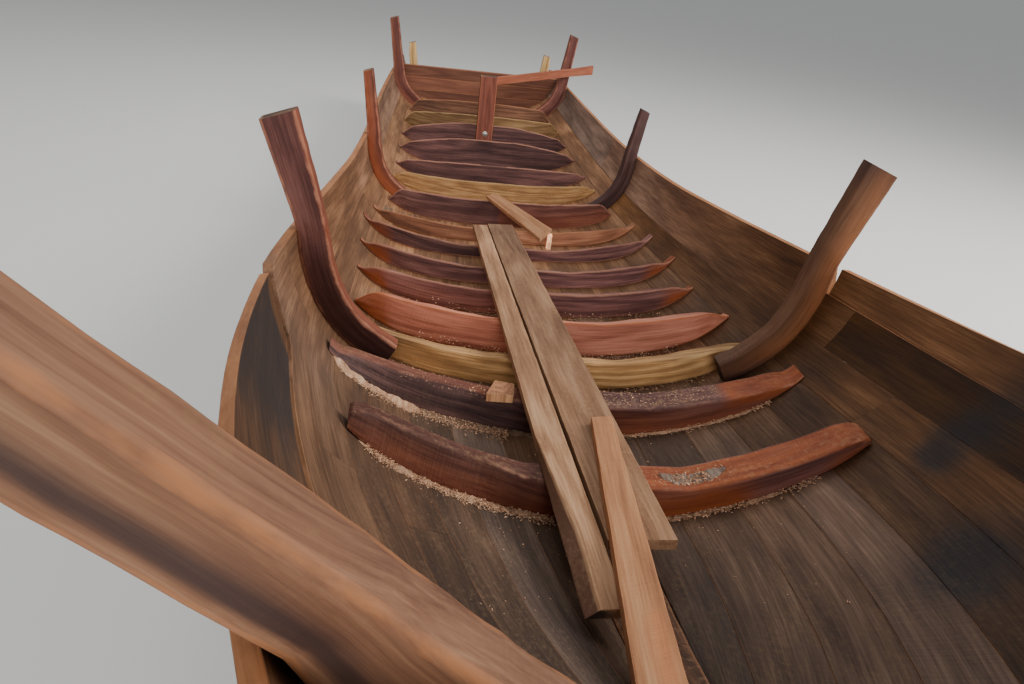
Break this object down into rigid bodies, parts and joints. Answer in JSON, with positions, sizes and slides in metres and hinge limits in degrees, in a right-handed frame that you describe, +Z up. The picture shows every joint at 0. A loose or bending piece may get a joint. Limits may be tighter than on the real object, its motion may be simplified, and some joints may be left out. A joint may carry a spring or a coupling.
{
  "type": "wooden longtail boat hull",
  "caption": "Open plank-built wooden longtail boat hull under construction, with floor timbers, tall crooked futtocks, a low transom and loose boards inside.",
  "frame": {"origin": "middle of the bounding box in plan, on the flat underside of the keel", "axes": "+Y runs along the keel from bow to transom, +X to the right looking from the bow towards the transom, +Z up"},
  "size_m": [2.2038, 9.2067, 1.85],
  "materials": {
    "planking": "sawn hardwood plank, unpainted, dull",
    "keel_timber": "hewn hardwood baulk, unpainted",
    "red_timber": "chainsawn red-brown hardwood, unpainted",
    "yellow_timber": "chainsawn yellow hardwood, unpainted",
    "tan_timber": "chainsawn tan hardwood, unpainted",
    "futtock_timber": "chainsawn red-brown crook with bark-edge colour, unpainted",
    "transom_board": "sawn red-brown board, unpainted",
    "post_timber": "sawn red-brown timber, unpainted",
    "loose_board": "rough-sawn pale board, unpainted",
    "bolt_steel": "plain steel bolt and washer, dull"
  },
  "bodies": {
    "root": {"strake_1_left": "planking", "strake_1_right": "planking", "strake_2_left": "planking", "strake_2_right": "planking", "strake_3_left": "planking", "strake_3_right": "planking", "strake_4_left": "planking", "strake_4_right": "planking", "strake_5_left": "planking", "strake_5_right": "planking", "strake_6_left": "planking", "strake_6_right": "planking", "strake_7_left": "planking", "strake_7_right": "planking", "wash_strake_left": "planking", "wash_strake_right": "planking", "keel": "keel_timber", "stem": "keel_timber", "floor_timber_01": "red_timber", "floor_timber_02": "red_timber", "floor_timber_03": "yellow_timber", "floor_timber_04": "tan_timber", "floor_timber_05": "red_timber", "floor_timber_06": "red_timber", "floor_timber_07": "red_timber", "floor_timber_08": "tan_timber", "floor_timber_09": "red_timber", "floor_timber_10": "yellow_timber", "floor_timber_11": "red_timber", "floor_timber_12": "red_timber", "floor_timber_13": "red_timber", "floor_timber_14": "yellow_timber", "floor_timber_15": "tan_timber", "futtock_1_right": "futtock_timber", "futtock_1_left": "futtock_timber", "futtock_2_right": "futtock_timber", "futtock_2_left": "futtock_timber", "futtock_3_right": "futtock_timber", "futtock_3_left": "futtock_timber", "futtock_4_right": "futtock_timber", "futtock_4_left": "futtock_timber", "transom_board_1": "transom_board", "transom_board_2": "transom_board", "transom_board_3": "transom_board", "centre_post": "post_timber", "brace_batten": "post_timber", "quarter_post_left": "tan_timber", "quarter_post_right": "tan_timber", "loose_board_1": "loose_board", "loose_board_2": "loose_board", "loose_board_3": "loose_board", "loose_board_4": "loose_board", "board_stub": "loose_board"}
  },
  "joints": []
}
